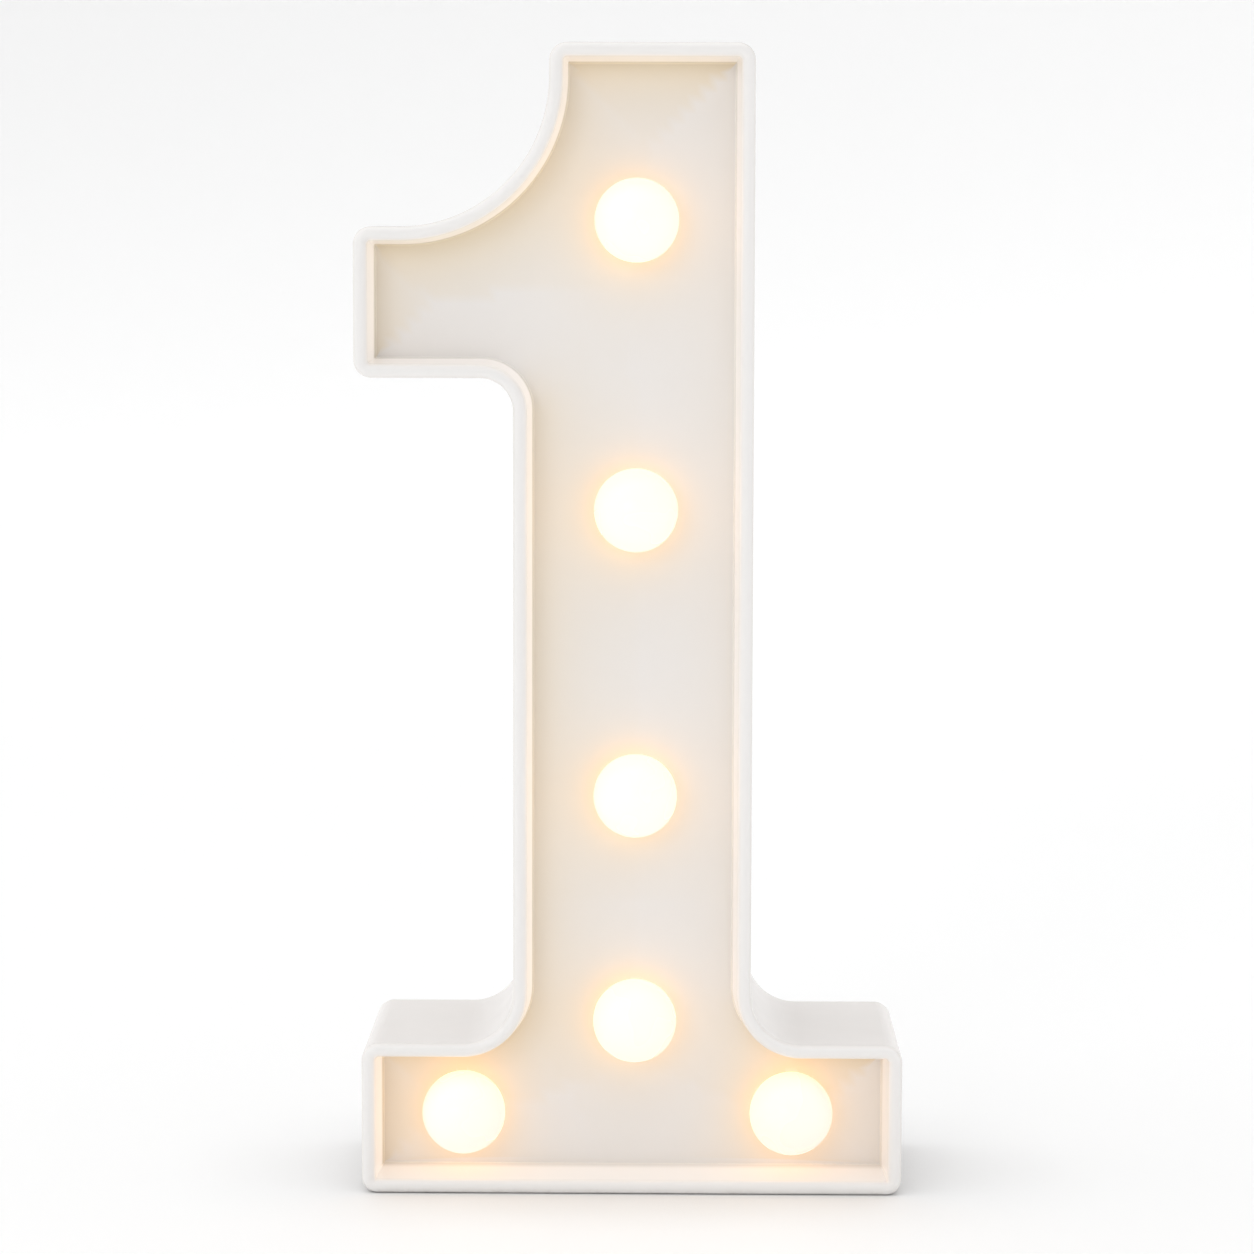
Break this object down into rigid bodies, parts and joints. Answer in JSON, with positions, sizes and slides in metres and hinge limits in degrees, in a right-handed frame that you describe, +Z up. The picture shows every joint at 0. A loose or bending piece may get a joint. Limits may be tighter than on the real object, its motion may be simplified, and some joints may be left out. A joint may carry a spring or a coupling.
{
  "type": "light-up marquee number",
  "caption": "Free-standing channel numeral with an open recessed front, a rounded rim and glowing globe lamps, run from cells behind a screwed back cover.",
  "frame": {"origin": "on the underside, in the middle of the base's width and of the walls' depth", "axes": "+Z up the number, -Y out of its open front, +X to the right of someone who reads it"},
  "size_m": [0.105, 0.0481, 0.22],
  "materials": {
    "white_plastic": "satin moulded white",
    "milky_globe": "milky, lit warm white from inside",
    "lamp_epoxy": "clear epoxy, lit",
    "holder_plastic": "natural moulded plastic",
    "cell_wrap": "plain printed wrap with bare metal ends",
    "plated_steel": "nickel plated",
    "zinc_screw": "zinc plated",
    "switch_board": "brown laminate with tinned terminals",
    "knob_plastic": "black moulded",
    "resistor_coat": "lacquered, with plain colour rings",
    "red_insulation": "soft wire insulation",
    "black_insulation": "soft wire insulation"
  },
  "bodies": {
    "housing": {"front_shell": "white_plastic", "back_cover": "white_plastic", "battery_1": "cell_wrap", "battery_2": "cell_wrap", "positive_contact": "plated_steel", "negative_contact": "plated_steel", "series_contact": "plated_steel", "switch_frame": "plated_steel", "switch_base": "switch_board", "resistor": "resistor_coat", "globe_1": "milky_globe", "globe_2": "milky_globe", "globe_3": "milky_globe", "globe_4": "milky_globe", "globe_5": "milky_globe", "globe_6": "milky_globe", "led_1": "lamp_epoxy", "led_2": "lamp_epoxy", "led_3": "lamp_epoxy", "led_4": "lamp_epoxy", "led_5": "lamp_epoxy", "led_6": "lamp_epoxy", "led_holder_1": "holder_plastic", "led_holder_2": "holder_plastic", "led_holder_3": "holder_plastic", "led_holder_4": "holder_plastic", "led_holder_5": "holder_plastic", "led_holder_6": "holder_plastic", "cover_screw_1": "zinc_screw", "cover_screw_2": "zinc_screw", "cover_screw_3": "zinc_screw", "cover_screw_4": "zinc_screw", "cover_screw_5": "zinc_screw", "cover_screw_6": "zinc_screw", "cover_screw_7": "zinc_screw", "cover_screw_8": "zinc_screw", "switch_screw_1": "zinc_screw", "switch_screw_2": "zinc_screw", "red_wire_1_2": "red_insulation", "red_wire_2_3": "red_insulation", "red_wire_3_4": "red_insulation", "red_wire_4_5": "red_insulation", "red_wire_4_6": "red_insulation", "black_wire_1_2": "black_insulation", "black_wire_2_3": "black_insulation", "black_wire_3_4": "black_insulation", "black_wire_4_5": "black_insulation", "black_wire_4_6": "black_insulation", "battery_to_switch_wire": "red_insulation", "switch_to_resistor_wire": "red_insulation", "resistor_to_led_wire": "red_insulation", "battery_to_led_wire": "black_insulation"},
    "battery_door": {"battery_door": "white_plastic"},
    "switch_knob": {"switch_knob": "knob_plastic"}
  },
  "joints": [
    {"name": "battery_door_hinge", "type": "hinge", "parent": "housing", "child": "battery_door", "pos_m": [0, 0.0221, 0.1522], "axis": [1, 0, 0], "range_deg": [0, 40]},
    {"name": "switch_slide", "type": "slide", "parent": "housing", "child": "switch_knob", "axis": [-1, 0, 0], "range_m": [0, 0.003]}
  ]
}
